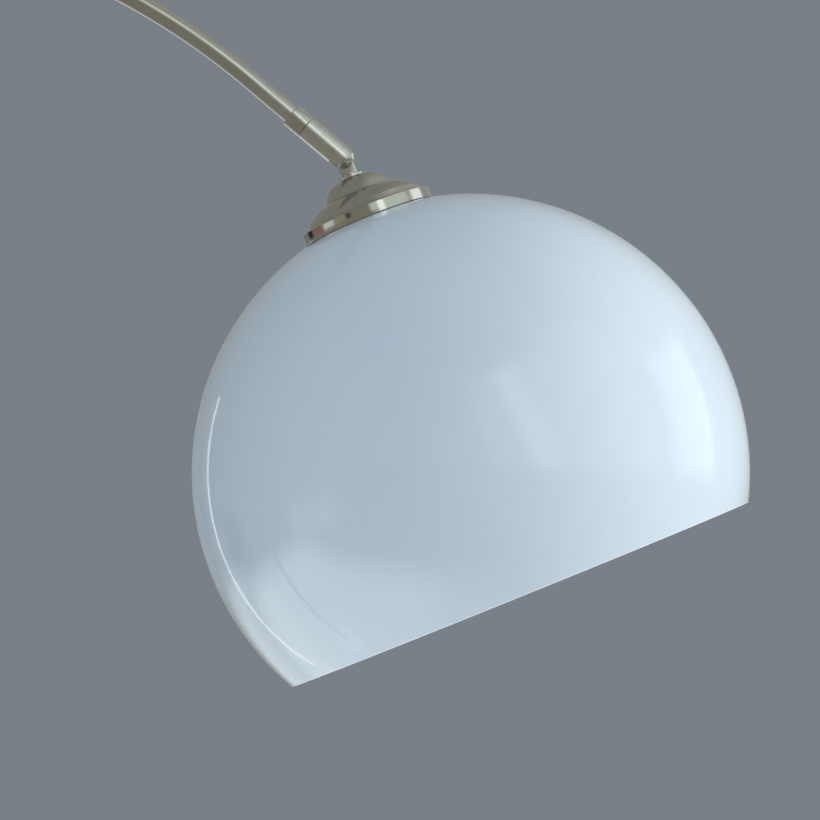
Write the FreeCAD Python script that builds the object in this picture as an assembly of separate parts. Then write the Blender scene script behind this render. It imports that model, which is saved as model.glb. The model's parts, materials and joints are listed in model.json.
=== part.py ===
import FreeCAD, Part
import math
import os

os.makedirs("parts", exist_ok=True)

# Arc floor lamp. Millimetres and degrees, +Z up. The origin is on the floor under the upright,
# the arm reaches towards +X, and the whole arm lies in the XZ plane.

# Shade: a sphere cut off by a plane
shade_radius = 200.0
shade_wall = 2.5
rim_drop = 94.5             # the rim's plane, below the sphere's centre
shade_tilt = 22.0           # the shade's axis from the vertical, its top leaning back
crown_hole_radius = 5.3
pivot_height = 244.3        # the tilting pivot, above the sphere's centre

# Cap on the shade's crown
band_radius = 49.0
band_top = 202.7            # heights on the cap are above the sphere's centre
ledge_radius = 43.0
ledge_height = 203.5
riser_radius = 42.2
riser_height = 207.0
tier_radius = 25.6
tier_height = 216.6
cap_height = 229.2
cap_sheet = 1.2
crown_flat_radius = 11.0
washer_radius = 9.6
washer_thickness = 1.4

# Knuckle joint at the arm's tip
barrel_radius = 9.0
barrel_length = 35.1        # from the pivot to the seam with the collar
chamber_radius = 6.3        # the hollow behind the fork, which holds the swivel's nut
chamber_end = 26.0
seam_gap = 0.15
fork_slot = 10.0
tab_thickness = 8.4
tab_radius = 6.3
tab_clearance = 0.3
pivot_radius = 2.5
collar_radius = 9.15
collar_length = 14.2
stem_radius = 5.0           # M10 hollow thread, used wherever flex passes through a fixing
stem_bore = 3.2
running_gap = 0.05
fit_gap = 0.03

# Arm: one bend from the vertical, over the top, to a short straight tip
bend_radius = 535.0
arm_slope = 40.4            # the tip's slope below the horizontal
straight_tip = 37.4
arm_start = 1310.0          # height where the bend begins
upper_radius = 7.0
lower_radius = 8.0
tube_wall = 0.95
arm_join = 64.0             # where the lower tube ends, round the bend
arm_overlap = 7.0           # how far the upper tube reaches back into it, in degrees
arm_foot = 1225.0           # the lower tube's bottom end, inside the upright

# Upright
upright_radius = 11.0
upright_wall = 1.2
lower_top = 660.0
coupler_ring = 8.0
socket_low = 1240.0
socket_top = 1290.0
socket_radius = 15.0
bush_flange = 1.5
stop_height = 8.0
clamp_height = 1276.0

# Base
slab_radius = 170.0
slab_height = 55.0
slab_edge = 4.0
pad_height = 3.0
recess_radius = 32.0
recess_depth = 19.0
gland_height = 106.0
flex_radius = 2.5

slab_top = pad_height + slab_height
upright_bore = upright_radius - upright_wall
X = FreeCAD.Vector(1, 0, 0)
Y = FreeCAD.Vector(0, 1, 0)
Z = FreeCAD.Vector(0, 0, 1)

# Frames: the arm's tip has +Z running back up the arm, the head has +Z up the shade's axis
bend_centre = FreeCAD.Vector(bend_radius, 0, arm_start)
arm_turn = 90.0 + arm_slope
tip_run = straight_tip + collar_length + barrel_length
tip_frame_turn = FreeCAD.Rotation(Y, arm_slope - 90.0)
bend_end = bend_centre + tip_frame_turn.multVec(X) * bend_radius
pivot = bend_end - tip_frame_turn.multVec(Z) * tip_run
tip_frame = FreeCAD.Placement(pivot, tip_frame_turn)
head_frame = FreeCAD.Placement(pivot, FreeCAD.Rotation(Y, -shade_tilt))


def point(radius, height):
    return FreeCAD.Vector(radius, 0, height)


def revolve(start, *steps):
    """Turn a closed outline about Z. A step is an end point, or an arc's middle and end points."""
    edges = []
    here = start
    last = steps[-1][1] if isinstance(steps[-1][0], tuple) else steps[-1]
    if last != start:
        steps += (start,)
    for step in steps:
        if isinstance(step[0], tuple):
            middle, end = step
            edges.append(Part.Arc(point(*here), point(*middle), point(*end)).toShape())
        else:
            end = step
            edges.append(Part.makeLine(point(*here), point(*end)))
        here = end
    face = Part.Face(Part.Wire(edges))
    return face.revolve(FreeCAD.Vector(), Z, 360)


def rod(radius, low, high):
    return Part.makeCylinder(radius, high - low, FreeCAD.Vector(0, 0, low))


def tube(outer, inner, low, high):
    return rod(outer, low, high).cut(rod(inner, low - 1, high + 1))


def cross_rod(radius, low, high, height, direction):
    """A rod along X or Y, between two distances from the axis."""
    return Part.makeCylinder(radius, high - low, direction * low + Z * height, direction)


def hex_nut(across_flats, bore, low, high):
    corner_radius = across_flats / math.sqrt(3)
    corners = [
        FreeCAD.Vector(corner_radius * math.cos(k * math.pi / 3),
                       corner_radius * math.sin(k * math.pi / 3), low)
        for k in range(7)
    ]
    prism = Part.Face(Part.makePolygon(corners)).extrude(Z * (high - low))
    crown = revolve((0, low), (across_flats / 2 + 0.2, low), (corner_radius, low + 0.8),
                    (corner_radius, high - 0.8), (across_flats / 2 + 0.2, high), (0, high))
    return prism.common(crown).cut(rod(bore, low - 1, high + 1))


def soften(shape, radius, chosen):
    """Round the edges for which chosen(edge) is true."""
    return shape.makeFillet(radius, [edge for edge in shape.Edges if chosen(edge)])


def is_circle(edge, radius):
    return isinstance(edge.Curve, Part.Circle) and abs(edge.Curve.Radius - radius) < 0.01


def bend(section, begin, end):
    """A round rod along the arm's bend, from one angle to another past the vertical foot."""
    torus = Part.makeTorus(bend_radius, section, FreeCAD.Vector(), Z, 0, 360, end - begin)
    turn = FreeCAD.Rotation(Y, 180.0 + begin) * FreeCAD.Rotation(X, -90.0)
    torus.Placement = FreeCAD.Placement(bend_centre, turn)
    return torus


def at_tip(shape):
    shape.Placement = tip_frame * shape.Placement
    return shape


def at_head(shape):
    shape.Placement = head_frame * shape.Placement
    return shape


def above_centre(height):
    """A height over the sphere's centre, in the head's frame."""
    return height - pivot_height


def sphere_height(sphere, radius):
    return math.sqrt(sphere ** 2 - radius ** 2)


# The base

def base_slab():
    slab = revolve(
        (0, pad_height), (slab_radius - slab_edge, pad_height),
        ((slab_radius - slab_edge * 0.293, pad_height + slab_edge * 0.293),
         (slab_radius, pad_height + slab_edge)),
        (slab_radius, slab_top - slab_edge),
        ((slab_radius - slab_edge * 0.293, slab_top - slab_edge * 0.293),
         (slab_radius - slab_edge, slab_top)),
        (0, slab_top))
    recess = rod(recess_radius, 0, pad_height + recess_depth)
    return slab.cut(recess).cut(rod(stem_radius + 1, 0, slab_top + 1))


def base_pad():
    """The felt disc glued over the slab's underside and its recess."""
    return rod(slab_radius - 8, 0, pad_height)


def base_washer():
    top = pad_height + recess_depth
    return tube(recess_radius - 6, stem_radius + 0.3, top - 3, top)


def base_nut():
    top = pad_height + recess_depth - 3
    return hex_nut(17.0, stem_radius + fit_gap, top - 8, top)


def base_stud():
    return tube(stem_radius, stem_bore, 8, slab_top + 30)


def foot_insert():
    return tube(upright_bore - fit_gap, stem_radius + fit_gap, slab_top, slab_top + 32)


def foot_flange():
    """The stepped nickel foot, in the style of the shade's cap."""
    bore = upright_radius + fit_gap
    return revolve(
        (bore, slab_top), (46, slab_top), (46, slab_top + 4.5),
        ((45.2, slab_top + 6.4), (43.2, slab_top + 7)), (40, slab_top + 7),
        ((32, slab_top + 11), (22, slab_top + 12.6)), (20, slab_top + 12.6),
        ((18.2, slab_top + 17.4), (14.0, slab_top + 20)), (bore, slab_top + 20))


def cord_gland():
    """A moulded bush where the mains lead enters the back of the upright."""
    stem = cross_rod(4.6, upright_bore - 2, upright_radius + 1, gland_height, -X)
    flange = cross_rod(7.0, upright_radius - 3, upright_radius + 3, gland_height, -X)
    flange = soften(flange, 1.2, lambda e: is_circle(e, 7.0) and e.CenterOfMass.x < -upright_radius)
    flange = flange.cut(rod(upright_radius + fit_gap, gland_height - 20, gland_height + 20))
    return stem.fuse(flange).removeSplitter().cut(cross_rod(2.9, 0, 30, gland_height, -X))


# The upright

def upright_lower_tube():
    pipe = tube(upright_radius, upright_bore, slab_top, lower_top)
    return pipe.cut(cross_rod(4.6 + fit_gap, 0, 20, gland_height, -X))


def upright_upper_tube():
    return tube(upright_radius, upright_bore, lower_top + coupler_ring, socket_low + 22)


def upright_coupler():
    """A plug that joins the two tubes, with a narrow ring that shows between them."""
    low = lower_top
    high = lower_top + coupler_ring
    plug = upright_bore - fit_gap
    ring = upright_radius + 0.8
    return revolve(
        (5, low - 34), (plug, low - 34), (plug, low), (ring - 0.8, low), (ring, low + 0.8),
        (ring, low + 3.2), (ring - 0.8, low + 4), (ring, low + 4.8), (ring, high - 0.8),
        (ring - 0.8, high), (plug, high), (plug, high + 34), (5, high + 34))


def top_socket():
    step = socket_low + 22
    grip = upright_radius + fit_gap
    bore = upright_bore + 0.1
    shell = revolve(
        (grip, socket_low), (socket_radius - 1.5, socket_low), (socket_radius, socket_low + 1.5),
        (socket_radius, socket_low + 14), (socket_radius - 1, socket_low + 15),
        (socket_radius, socket_low + 16), (socket_radius, socket_top - 3),
        ((socket_radius - 0.9, socket_top - 0.9), (socket_radius - 3, socket_top)),
        (bore, socket_top), (bore, step), (grip, step))
    return shell.cut(cross_rod(pivot_radius + running_gap, 0, 30, clamp_height, -X))


def swivel_bush():
    """A plain flanged bush that the arm turns in."""
    bore = lower_radius + running_gap
    wall = upright_bore + 0.1 - fit_gap
    bush = revolve(
        (bore, socket_low + 23), (wall, socket_low + 23), (wall, socket_top),
        (socket_radius - 3.5, socket_top), (socket_radius - 3.5, socket_top + bush_flange),
        (bore, socket_top + bush_flange))
    return bush.cut(cross_rod(pivot_radius + 0.4, 0, 30, clamp_height, -X))


def clamp_stud():
    """The thumb screw's shank. Its tip bears on the arm's foot."""
    return cross_rod(pivot_radius, lower_radius + 0.35, socket_radius + 9, clamp_height, -X)


def clamp_knob():
    low = socket_radius + 2
    high = socket_radius + 15
    knob = cross_rod(11.0, low, high, clamp_height, -X)
    knob = soften(knob, 1.5, lambda e: is_circle(e, 11.0))
    boss = cross_rod(5.5, socket_radius + 0.5, low + 1, clamp_height, -X)
    knob = knob.fuse(boss)
    lobes = 8
    for k in range(lobes):
        angle = 2 * math.pi * (k + 0.5) / lobes
        scallop = cross_rod(3.0, low - 1, high + 1, clamp_height, -X)
        scallop.translate(FreeCAD.Vector(0, 12.6 * math.cos(angle), 12.6 * math.sin(angle)))
        knob = knob.cut(scallop)
    return knob.cut(cross_rod(pivot_radius + fit_gap, 0, socket_radius + 9, clamp_height, -X))


# The arm

def arm_lower_tube():
    outer = rod(lower_radius, arm_foot, arm_start).fuse(bend(lower_radius, 0, arm_join))
    bore = lower_radius - tube_wall
    inner = rod(bore, arm_foot - 1, arm_start).fuse(bend(bore, 0, arm_join + 1))
    return outer.cut(inner)


def arm_stop_collar():
    """The ring on which the arm's weight rests, above the bush."""
    low = socket_top + bush_flange + 0.1
    high = low + stop_height
    bore = lower_radius + fit_gap
    return revolve(
        (bore, low), (11.5, low), (12.5, low + 1), (12.5, high - 2.5),
        ((11.8, high - 0.8), (10, high)), (bore, high))


def arm_spigot():
    """A turned liner that stiffens the arm's foot where the thumb screw bears."""
    return tube(lower_radius - tube_wall - fit_gap, 4.5, arm_foot, arm_foot + 70)


def arm_upper_tube():
    begin = arm_join - arm_overlap
    low = barrel_length + 1.3
    straight = straight_tip + collar_length + barrel_length
    bore = upper_radius - tube_wall
    outer = at_tip(rod(upper_radius, low, straight)).fuse(bend(upper_radius, begin, arm_turn))
    inner = at_tip(rod(bore, low - 1, straight)).fuse(bend(bore, begin - 1, arm_turn))
    return outer.cut(inner)


def arm_sleeve():
    """The ferrule that covers the join between the arm's two tubes."""
    outer = bend(lower_radius + 1.4, arm_join - 1.5, arm_join + 1.0)
    over_lower = bend(lower_radius + fit_gap, arm_join - 2, arm_join)
    over_upper = bend(upper_radius + fit_gap, arm_join - 2, arm_join + 2)
    return outer.cut(over_lower).cut(over_upper).cut(set_screw_bore(fit_gap))


def set_screw_bore(gap):
    """A short radial screw under the bend, a little past the lower tube's end."""
    angle = math.radians(arm_join + 0.5)
    inward = FreeCAD.Vector(math.cos(angle), 0, -math.sin(angle))
    start = bend_centre - inward * (bend_radius - upper_radius - fit_gap)
    return Part.makeCylinder(1.5 + gap, 3.4, start, inward)


def arm_set_screw():
    screw = set_screw_bore(0)
    angle = math.radians(arm_join + 0.5)
    inward = FreeCAD.Vector(math.cos(angle), 0, -math.sin(angle))
    start = bend_centre - inward * (bend_radius - upper_radius - 2.2)
    return screw.cut(Part.makeCylinder(0.75, 3.0, start, inward))


def tip_collar():
    low = barrel_length + seam_gap
    high = barrel_length + collar_length
    return at_tip(revolve(
        (stem_radius + fit_gap, low), (collar_radius - 0.4, low), (collar_radius, low + 0.4),
        (collar_radius, high - 0.5), (collar_radius - 0.5, high), (upper_radius + fit_gap, high),
        (upper_radius + fit_gap, low + 1.1), (stem_radius + fit_gap, low + 1.1)))


def tip_plug():
    """A plug in the tube's end, with the hollow stud that the knuckle turns on."""
    shoulder = barrel_length + 1.3
    body = upper_radius - tube_wall - fit_gap
    end = chamber_end - 5.5
    return at_tip(revolve(
        (stem_bore, end), (stem_radius, end), (stem_radius, shoulder), (body, shoulder),
        (body, shoulder + 24), (stem_bore, shoulder + 24)))


def swivel_washer():
    return at_tip(tube(6.0, stem_radius + fit_gap, chamber_end - 0.5, chamber_end - 0.1))


def swivel_nut():
    low = chamber_end - 4.5
    nut = tube(6.0, stem_radius + fit_gap, low, chamber_end - 0.6)
    slot = Part.makeBox(14, 1.6, 1.5, FreeCAD.Vector(-7, -0.8, low - 0.5))
    return at_tip(nut.cut(slot))


# The knuckle

def knuckle_barrel():
    """A round barrel with a ball end. Its fork is open to the tip and to the underside."""
    ball_side = barrel_radius * math.sqrt(0.5)
    barrel = revolve(
        (0, 0), (0, -barrel_radius), ((ball_side, -ball_side), (barrel_radius, 0)),
        (barrel_radius, barrel_length - 0.4), (barrel_radius - 0.4, barrel_length),
        (0, barrel_length))
    fork_end = tab_radius + tab_clearance
    slot = Part.makeBox(fork_end + 20, fork_slot, fork_end + 20,
                        FreeCAD.Vector(-20, -fork_slot / 2, -20))
    chamber = rod(chamber_radius, fork_end - 1, chamber_end)
    stud_bore = rod(stem_radius + running_gap, fork_end - 1, barrel_length + 1)
    pin_bore = cross_rod(pivot_radius + fit_gap, -7.4, 20, 0, Y)
    head_seat = cross_rod(4.2, 6.6, 20, 0, Y)
    for hollow in (slot, chamber, stud_bore, pin_bore, head_seat):
        barrel = barrel.cut(hollow)
    return at_tip(barrel)


def pivot_screw():
    """Screwed in from behind, so that the fork's front face stays plain."""
    shank = cross_rod(pivot_radius, -7.3, 6.7, 0, Y)
    head = cross_rod(4.1, 6.7, 7.6, 0, Y)
    slot = Part.makeBox(9, 1, 1.0, FreeCAD.Vector(-4.5, 7.1, -0.5))
    return at_tip(shank.fuse(head).removeSplitter().cut(slot))


# The head

def knuckle_tab():
    """A flat eye between the fork's ears, on a hollow threaded stem that holds the shade."""
    shoulder = above_centre(cap_height + washer_thickness + 0.05)
    foot_top = shoulder + 1.6
    stem_end = above_centre(182)
    half = tab_thickness / 2
    eye = cross_rod(tab_radius, -half, half, 0, Y)
    flats = Part.makeBox(20, tab_thickness, 20, FreeCAD.Vector(-10, -half, foot_top))
    neck = rod(tab_radius, foot_top, 0).common(flats)
    foot = rod(tab_radius, shoulder, foot_top)
    tab = eye.fuse(neck).fuse(foot).fuse(rod(stem_radius, stem_end, shoulder))
    pin_bore = cross_rod(pivot_radius + running_gap, -10, 10, 0, Y)
    flex_bore = rod(stem_bore, stem_end - 1, -5.0)
    return at_head(tab.removeSplitter().cut(pin_bore).cut(flex_bore))


def friction_washers():
    low = tab_thickness / 2 + 0.05
    high = fork_slot / 2 - 0.1
    washers = []
    for side in (-1, 1):
        disc = cross_rod(tab_radius, low, high, 0, Y * side)
        washers.append(disc.cut(cross_rod(pivot_radius + running_gap, 0, 10, 0, Y * side)))
    return at_head(Part.makeCompound(washers))


def cap_washer():
    low = above_centre(cap_height)
    high = low + washer_thickness
    bore = stem_radius + fit_gap
    return at_head(revolve(
        (bore, low), (washer_radius - 0.3, low), (washer_radius, low + 0.3),
        (washer_radius, high - 0.4), (washer_radius - 0.4, high), (bore, high)))


def cap_solid(inset, bottom):
    """The cap's outer form, moved in and down by inset, closed at the bottom."""
    def at(radius, height):
        return radius - inset, above_centre(height) - inset

    return revolve(
        (0, bottom), (band_radius - inset, bottom), at(band_radius, band_top - 0.9),
        (at(band_radius - 0.26, band_top - 0.26), at(band_radius - 0.9, band_top)),
        at(ledge_radius, ledge_height), at(riser_radius, riser_height),
        (at(36.3, 212.3), at(tier_radius, tier_height)), at(tier_radius - 0.6, tier_height),
        (at(21.5, 223.5), at(crown_flat_radius, cap_height)), (0, above_centre(cap_height) - inset))


def shade_cap():
    """A two-tier spun cover. The edge of its band rests on the shade."""
    bottom = above_centre(sphere_height(shade_radius, band_radius - cap_sheet) + 0.1)
    shell = cap_solid(0, bottom).cut(cap_solid(cap_sheet, bottom - 10))
    return at_head(shell.cut(rod(stem_radius + 0.2, -60, 0)))


def dished(outer, thickness, radius, bore):
    """A round plate that follows the inside of the shade."""
    inner = outer - thickness
    middle = (radius + bore) / 2
    return at_head(revolve(
        (bore, above_centre(sphere_height(inner, bore))),
        (bore, above_centre(sphere_height(outer, bore))),
        ((middle, above_centre(sphere_height(outer, middle))),
         (radius, above_centre(sphere_height(outer, radius)))),
        (radius, above_centre(sphere_height(inner, radius))),
        ((middle, above_centre(sphere_height(inner, middle))),
         (bore, above_centre(sphere_height(inner, bore))))))


def shade():
    """An opal dome of even thickness, with a small hole at its crown."""
    outer = shade_radius
    inner = shade_radius - shade_wall
    rim = above_centre(-rim_drop)
    outer_rim = sphere_height(outer, rim_drop)
    inner_rim = sphere_height(inner, rim_drop)
    hole = crown_hole_radius
    side = outer * math.sqrt(0.5)
    inner_side = inner * math.sqrt(0.5)
    soft = 0.6
    return at_head(revolve(
        (hole, above_centre(sphere_height(inner, hole))),
        (hole, above_centre(sphere_height(outer, hole))),
        ((side, above_centre(side)), (outer, above_centre(0))),
        ((sphere_height(outer, rim_drop / 2), above_centre(-rim_drop / 2)),
         (sphere_height(outer, rim_drop - soft), rim + soft)),
        (outer_rim - soft, rim), (inner_rim + soft, rim),
        (sphere_height(inner, rim_drop - soft), rim + soft),
        ((sphere_height(inner, rim_drop / 2), above_centre(-rim_drop / 2)),
         (inner, above_centre(0))),
        ((inner_side, above_centre(inner_side)),
         (hole, above_centre(sphere_height(inner, hole))))))


def shade_gasket():
    return dished(shade_radius - shade_wall, 1.0, 22.0, crown_hole_radius)


def clamp_plate():
    return dished(shade_radius - shade_wall - 1.0, 1.5, 24.0, crown_hole_radius)


def clamp_nut():
    top = above_centre(sphere_height(shade_radius - shade_wall - 2.5, 8.1)) - 0.02
    return at_head(hex_nut(14.0, stem_radius + fit_gap, top - 4.6, top))


# The lampholder and bulb. Heights are above the sphere's centre.

def turned(start, *steps):
    """Revolve an outline whose heights are above the sphere's centre, in the head's frame."""
    def lower(item):
        if isinstance(item[0], tuple):
            return tuple(lower(part) for part in item)
        return item[0], above_centre(item[1])

    return at_head(revolve(lower(start), *[lower(step) for step in steps]))


def holder_cap():
    bore = stem_radius + fit_gap
    return turned(
        (bore, 190.0), (8.0, 190.0), (9.0, 189.0), (9.0, 185.5),
        ((16.5, 182.6), (19.6, 176.0)), (19.6, 166.2), (17.6, 166.2), (17.6, 176.0),
        ((14.5, 180.6), (9.0, 182.6)), (bore, 182.6))


def holder_body():
    """A moulded sleeve round the lampholder's brass shell, with grip ribs."""
    sleeve = turned(
        (15.2, 166.0), (17.4, 166.0), (17.4, 172.0), (17.5, 172.0), (17.5, 166.1), (19.6, 166.1),
        (19.6, 132.0), ((19.0, 130.4), (17.6, 130.0)), (15.2, 130.0))
    ribs = 24
    for k in range(ribs):
        groove = rod(0.7, above_centre(138), above_centre(160))
        angle = 2 * math.pi * k / ribs
        groove.translate(FreeCAD.Vector(19.9 * math.cos(angle), 19.9 * math.sin(angle), 0))
        sleeve = sleeve.cut(at_head(groove))
    return sleeve


def holder_insert():
    """The porcelain block that carries the contacts."""
    block = turned((0, 164.0), (15.0, 164.0), (15.0, 158.0), (0, 158.0))
    return block.cut(turned((0, 165.0), (2.2, 165.0), (2.2, 157.0), (0, 157.0)))


def holder_shell():
    """The brass screw shell, with its rounded thread drawn as rings."""
    rings = 5
    pitch = 3.63
    crest = 14.5
    root = 13.9
    wall = 0.35
    outer = [(root, 157.8 - pitch * k / 2) if k % 2 == 0 else (crest, 157.8 - pitch * k / 2)
             for k in range(2 * rings + 1)]
    inner = [(radius - wall, height) for radius, height in reversed(outer)]
    return turned(outer[0], *outer[1:], *inner)


def centre_contact():
    """A sprung brass strip that meets the bulb's tip."""
    strip = Part.makeBox(12, 4, 0.5, FreeCAD.Vector(-2, -2, above_centre(156.9)))
    stem = Part.makeBox(0.6, 4, 1.2, FreeCAD.Vector(9.4, -2, above_centre(156.8)))
    return at_head(strip.fuse(stem).removeSplitter())


def bulb_cap():
    """The bulb's metal screw cap, its thread drawn as rings, and its solder tip."""
    rings = 5
    pitch = 3.63
    crest = 13.1
    root = 12.3
    thread = [(root, 151.5 - pitch * k / 2) if k % 2 == 0 else (crest, 151.5 - pitch * k / 2)
              for k in range(2 * rings + 1)]
    return turned(
        (0, 156.6), (3.2, 156.4), (4.6, 155.2), (8.5, 154.4), (11.2, 153.0), *thread,
        (12.9, 130.5), (0, 130.5))


def bulb_housing():
    """The bulb's moulded lower body, flaring from the cap to the globe."""
    return turned(
        (0, 130.4), (13.3, 130.4), (13.9, 128.0), ((16.2, 114.0), (22.8, 100.2)),
        (24.3, 97.0), (0, 97.0))


def bulb_globe():
    """The bulb's opal globe, a shell round a sphere's larger part."""
    outer = 30.0
    inner = 28.8
    centre = 79.0
    mouth = 96.9
    outer_mouth = sphere_height(outer, mouth - centre)
    inner_mouth = sphere_height(inner, mouth - centre)
    return turned(
        (inner_mouth, mouth), (outer_mouth, mouth), ((outer, centre), (0, centre - outer)),
        (0, centre - inner), ((inner, centre), (inner_mouth, mouth)))


# The flex that runs inside the lamp, one length for each moving body

def flex_stand():
    turn = 9.0
    entry = cross_rod(flex_radius, turn, upright_radius + 2.4, gland_height, -X)
    corner = Part.makeTorus(turn, flex_radius, FreeCAD.Vector(), Z, 0, 360, 90)
    corner.Placement = FreeCAD.Placement(
        FreeCAD.Vector(-turn, 0, gland_height + turn), FreeCAD.Rotation(X, 90))
    corner.rotate(FreeCAD.Vector(-turn, 0, gland_height + turn), Y, 90)
    riser = rod(flex_radius, gland_height + turn, arm_foot - 6)
    return entry.fuse(corner).fuse(riser)


def flex_arm():
    foot = rod(flex_radius, arm_foot - 4, arm_start)
    tip = at_tip(rod(flex_radius, chamber_end - 6, tip_run))
    return foot.fuse(bend(flex_radius, 0, arm_turn)).fuse(tip)


def flex_head():
    return at_head(rod(flex_radius, above_centre(167), -6))


for make in (
        base_slab, base_pad, base_washer, base_nut, base_stud, foot_insert, foot_flange,
        cord_gland, upright_lower_tube, upright_coupler, upright_upper_tube, top_socket,
        swivel_bush, clamp_stud, clamp_knob, arm_lower_tube, arm_stop_collar, arm_spigot,
        arm_upper_tube, arm_sleeve, arm_set_screw, tip_collar, tip_plug, swivel_washer,
        swivel_nut, knuckle_barrel, pivot_screw, knuckle_tab, friction_washers, cap_washer,
        shade_cap, shade, shade_gasket, clamp_plate, clamp_nut, holder_cap, holder_body,
        holder_insert, holder_shell, centre_contact, bulb_cap, bulb_housing, bulb_globe,
        flex_stand, flex_arm, flex_head):
    shape = make()
    shape.exportStep("parts/" + make.__name__ + ".step")
    volume = round(shape.Volume / 1000, 2)
    print(make.__name__, len(shape.Solids), "solid", shape.isValid(), volume, "cm3")

print("pivot", [round(value, 3) for value in pivot])
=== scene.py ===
import bpy
import json
import math
from mathutils import Matrix, Vector


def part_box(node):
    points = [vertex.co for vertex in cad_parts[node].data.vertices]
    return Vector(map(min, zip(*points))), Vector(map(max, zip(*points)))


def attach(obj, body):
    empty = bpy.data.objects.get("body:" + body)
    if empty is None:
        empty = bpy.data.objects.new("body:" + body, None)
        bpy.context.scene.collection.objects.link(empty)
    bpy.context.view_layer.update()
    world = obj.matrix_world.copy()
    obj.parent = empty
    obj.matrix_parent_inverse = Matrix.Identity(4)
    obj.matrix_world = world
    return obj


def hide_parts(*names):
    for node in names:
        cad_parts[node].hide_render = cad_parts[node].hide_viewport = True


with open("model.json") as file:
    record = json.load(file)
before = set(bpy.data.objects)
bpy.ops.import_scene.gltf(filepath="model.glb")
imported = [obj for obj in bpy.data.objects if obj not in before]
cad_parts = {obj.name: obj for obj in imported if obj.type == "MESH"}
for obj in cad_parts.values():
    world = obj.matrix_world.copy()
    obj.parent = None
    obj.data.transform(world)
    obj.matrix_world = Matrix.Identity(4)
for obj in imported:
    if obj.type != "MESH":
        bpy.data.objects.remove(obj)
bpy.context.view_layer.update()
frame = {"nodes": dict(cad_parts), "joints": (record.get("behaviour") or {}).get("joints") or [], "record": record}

nodes = frame["nodes"]
joints = {joint["name"]: joint for joint in frame["joints"]}

# Where things are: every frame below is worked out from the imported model
pivot = Vector(joints["head_tilt"]["pos_m"])
seam = Vector(joints["head_swivel"]["pos_m"])
tipWay = Vector(joints["head_swivel"]["axis"]).normalized()  # down the arm, towards the shade
shadeLow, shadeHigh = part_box("shade")
domeRadius = (shadeHigh.y - shadeLow.y) / 2
domeCentre = Vector((shadeHigh.x - domeRadius, 0, shadeHigh.z - domeRadius))
domeWay = (pivot - domeCentre).normalized()
pivotHeight = (pivot - domeCentre).length
across = Vector((0, 1, 0))


def axisFrame(origin, way):
    side = across.cross(way).normalized()
    return Matrix((
        (side.x, across.x, way.x, origin.x),
        (side.y, across.y, way.y, origin.y),
        (side.z, across.z, way.z, origin.z),
        (0, 0, 0, 1)))


floorFrame = Matrix.Identity(4)
headFrame = axisFrame(domeCentre, domeWay)  # heights above the dome's centre
tipFrame = axisFrame(pivot, -tipWay)  # heights back up the arm from the pivot
mm = 0.001
print("frame read, dome radius", round(domeRadius, 4))


# Modelling helpers, each a few steps of work by hand

def pickNothing():
    if bpy.context.object and bpy.context.object.mode != "OBJECT":
        bpy.ops.object.mode_set(mode="OBJECT")
    bpy.ops.object.select_all(action="DESELECT")


def pickOnly(piece):
    pickNothing()
    piece.select_set(True)
    bpy.context.view_layer.objects.active = piece


def arcThrough(start, middle, end, count=8):
    # points on the circle through three profile points, without the first
    (ax, ay), (bx, by), (cx, cy) = start, middle, end
    d = 2 * (ax * (by - cy) + bx * (cy - ay) + cx * (ay - by))
    ux = ((ax**2 + ay**2) * (by - cy) + (bx**2 + by**2) * (cy - ay) + (cx**2 + cy**2) * (ay - by)) / d
    uy = ((ax**2 + ay**2) * (cx - bx) + (bx**2 + by**2) * (ax - cx) + (cx**2 + cy**2) * (bx - ax)) / d
    first = math.atan2(ay - uy, ax - ux)
    sweep = [math.atan2(y - uy, x - ux) - first for x, y in (middle, end)]
    sweep = [turn % (2 * math.pi) for turn in sweep]
    if sweep[0] > sweep[1]:
        sweep = [turn - 2 * math.pi for turn in sweep]
    radius = math.hypot(ax - ux, ay - uy)
    points = []
    for k in range(1, count + 1):
        turn = first + sweep[1] * k / count
        points.append((ux + radius * math.cos(turn), uy + radius * math.sin(turn)))
    return points


def outlineOf(steps, count=8):
    # a step is a point in mm, or ("arc", middle, end)
    points = [steps[0]]
    for step in steps[1:]:
        if step[0] == "arc":
            points += arcThrough(points[-1], step[1], step[2], count)
        else:
            points.append(step)
    return points


def newVertex(name, place):
    pickNothing()
    bpy.ops.mesh.primitive_plane_add(size=mm, location=(0, 0, 0))
    piece = bpy.context.object
    piece.name = name
    bpy.ops.object.mode_set(mode="EDIT")
    bpy.ops.mesh.select_all(action="SELECT")
    bpy.ops.mesh.merge(type="CENTER")
    bpy.ops.transform.translate(value=place)
    return piece


def turnPiece(name, place, steps, turns=96, bevel=0.0, closed=True, curve=8):
    # draws a profile of (radius, height) in mm and spins it about the frame's axis
    points = outlineOf(steps, curve)
    if closed and points[0] != points[-1] and not (points[0][0] == 0 and points[-1][0] == 0):
        points.append(points[0])
    spots = [place @ Vector((r * mm, 0, h * mm)) for r, h in points]
    piece = newVertex(name, spots[0])
    for here, there in zip(spots, spots[1:]):
        bpy.ops.mesh.extrude_region_move(TRANSFORM_OT_translate={"value": there - here})
    bpy.ops.mesh.select_all(action="SELECT")
    way = place.to_3x3() @ Vector((0, 0, 1))
    bpy.ops.mesh.spin(steps=turns, angle=2 * math.pi, center=place.translation, axis=way)
    tidyMesh()
    bpy.ops.object.mode_set(mode="OBJECT")
    piece.data.name = name
    if bevel:
        roundEdges(piece, bevel)
    return smoothPiece(piece)


def tidyMesh(gap=2e-6):
    bpy.ops.mesh.select_all(action="SELECT")
    bpy.ops.mesh.remove_doubles(threshold=gap)
    bpy.ops.mesh.delete_loose()
    bpy.ops.mesh.select_all(action="SELECT")
    bpy.ops.mesh.normals_make_consistent(inside=False)


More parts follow.
